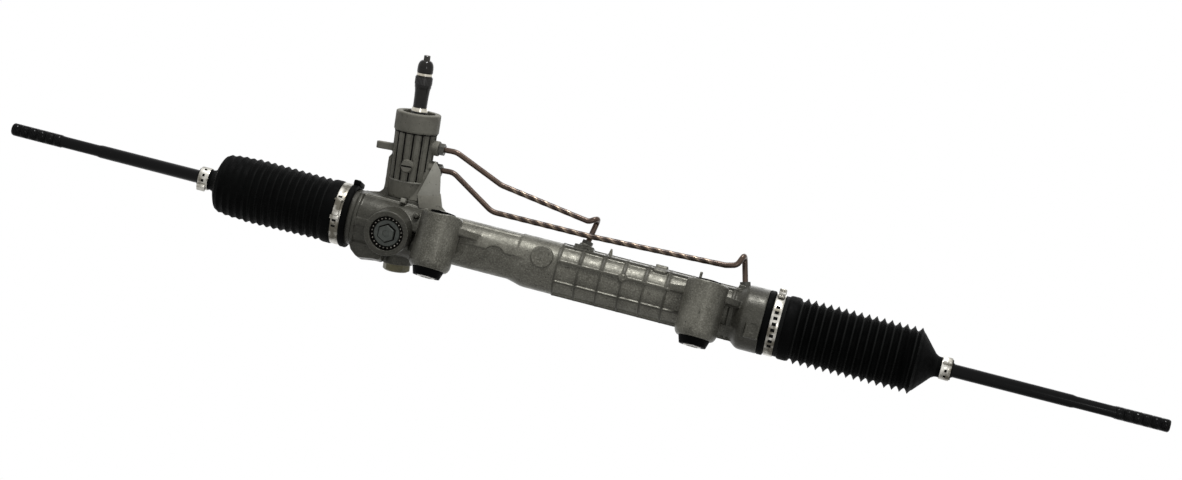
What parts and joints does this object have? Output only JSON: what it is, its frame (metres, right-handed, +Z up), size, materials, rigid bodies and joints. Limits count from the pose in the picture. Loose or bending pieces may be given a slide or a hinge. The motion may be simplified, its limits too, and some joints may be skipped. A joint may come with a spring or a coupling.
{
  "type": "steering rack",
  "caption": "Hydraulic power steering rack with pinion tower, rigid pressure lines, rubber bellows, bushed mounts and threaded inner tie rods.",
  "frame": {"origin": "middle of the left mount's bolt sleeve, on the bolt axis", "axes": "+Z up along the mount bolts, +X along the rack away from the pinion tower, +Y from the mount bosses to the rack bar"},
  "size_m": [1.2631, 0.1072, 0.2288],
  "materials": {
    "cast_aluminium": "satin as-cast",
    "tower_casting": "matte as-cast",
    "black_rubber": "matte",
    "black_steel": "gloss black",
    "bright_steel": "ground",
    "stainless_band": "bright",
    "dark_steel": "oiled",
    "yellow_passivate": "yellow passivated zinc",
    "phosphate": "matte phosphate",
    "pipe_finish": "copper brown passivated steel line",
    "ptfe": "matte filled ptfe",
    "acetal": "matte",
    "sintered": "machined"
  },
  "bodies": {
    "housing": {"rack_housing": "cast_aluminium", "valve_housing": "tower_casting", "valve_housing_screws": "bright_steel", "valve_housing_o_ring": "black_rubber", "gallery_plug": "tower_casting", "upper_shaft_bearing": "bright_steel", "bearing_circlip": "dark_steel", "input_shaft_seal": "black_rubber", "pinion_seal": "black_rubber", "pinion_needle_bearing": "bright_steel", "pinion_ball_bearing": "bright_steel", "pinion_end_cap": "yellow_passivate", "yoke": "sintered", "yoke_o_ring": "black_rubber", "yoke_spring": "dark_steel", "yoke_plug": "phosphate", "inner_rack_seal": "black_rubber", "end_bushing": "acetal", "outer_rack_seal": "black_rubber", "end_retainer": "bright_steel", "left_bush_rubber": "black_rubber", "right_bush_rubber": "black_rubber", "left_bush_sleeve": "bright_steel", "right_bush_sleeve": "bright_steel", "short_transfer_pipe": "pipe_finish", "long_transfer_pipe": "pipe_finish", "pipe_union_nuts": "bright_steel", "left_boot": "black_rubber", "right_boot": "black_rubber", "left_large_clamp": "stainless_band", "right_large_clamp": "stainless_band"},
    "rack": {"rack_bar": "bright_steel", "rack_piston": "sintered", "piston_seal": "ptfe", "piston_rings": "dark_steel", "left_inner_socket": "dark_steel", "right_inner_socket": "dark_steel", "left_lock_washer": "bright_steel", "right_lock_washer": "bright_steel", "left_ball_seat": "acetal", "right_ball_seat": "acetal"},
    "pinion": {"pinion": "bright_steel", "pinion_nut": "bright_steel", "valve_sleeve": "bright_steel", "valve_sleeve_rings": "ptfe"},
    "input_shaft": {"input_shaft": "dark_steel", "torsion_bar": "dark_steel"},
    "left_tie_rod": {"left_tie_rod": "black_steel", "left_small_clamp": "stainless_band"},
    "right_tie_rod": {"right_tie_rod": "black_steel", "right_small_clamp": "stainless_band"}
  },
  "joints": [
    {"name": "rack_travel", "type": "slide", "parent": "housing", "child": "rack", "axis": [1, 0, 0], "range_m": [-0.078, 0.054], "deforming": ["left_boot", "right_boot"]},
    {"name": "pinion_spin", "type": "hinge", "parent": "housing", "child": "pinion", "pos_m": [-0.049, 0.0553, 0.01648], "axis": [-0.0698, -0.2917, 0.954], "range_deg": [-567, 393]},
    {"name": "valve_twist", "type": "hinge", "parent": "pinion", "child": "input_shaft", "pos_m": [-0.05598, 0.02613, 0.11188], "axis": [-0.0698, -0.2917, 0.954], "range_deg": [-3.5, 3.5], "stiffness_Nm_per_rad": 100},
    {"name": "left_ball_joint", "type": "hinge", "parent": "rack", "child": "left_tie_rod", "pos_m": [-0.1703, 0.04, 0.0118], "axis": [0, 1, 0], "range_deg": [-15, 15]},
    {"name": "right_ball_joint", "type": "hinge", "parent": "rack", "child": "right_tie_rod", "pos_m": [0.4473, 0.04, 0.0118], "axis": [0, 1, 0], "range_deg": [-15, 15]}
  ],
  "couplings": [
    {"joint": "pinion_spin", "follows": "rack_travel", "rad_per_m": 126.67}
  ]
}
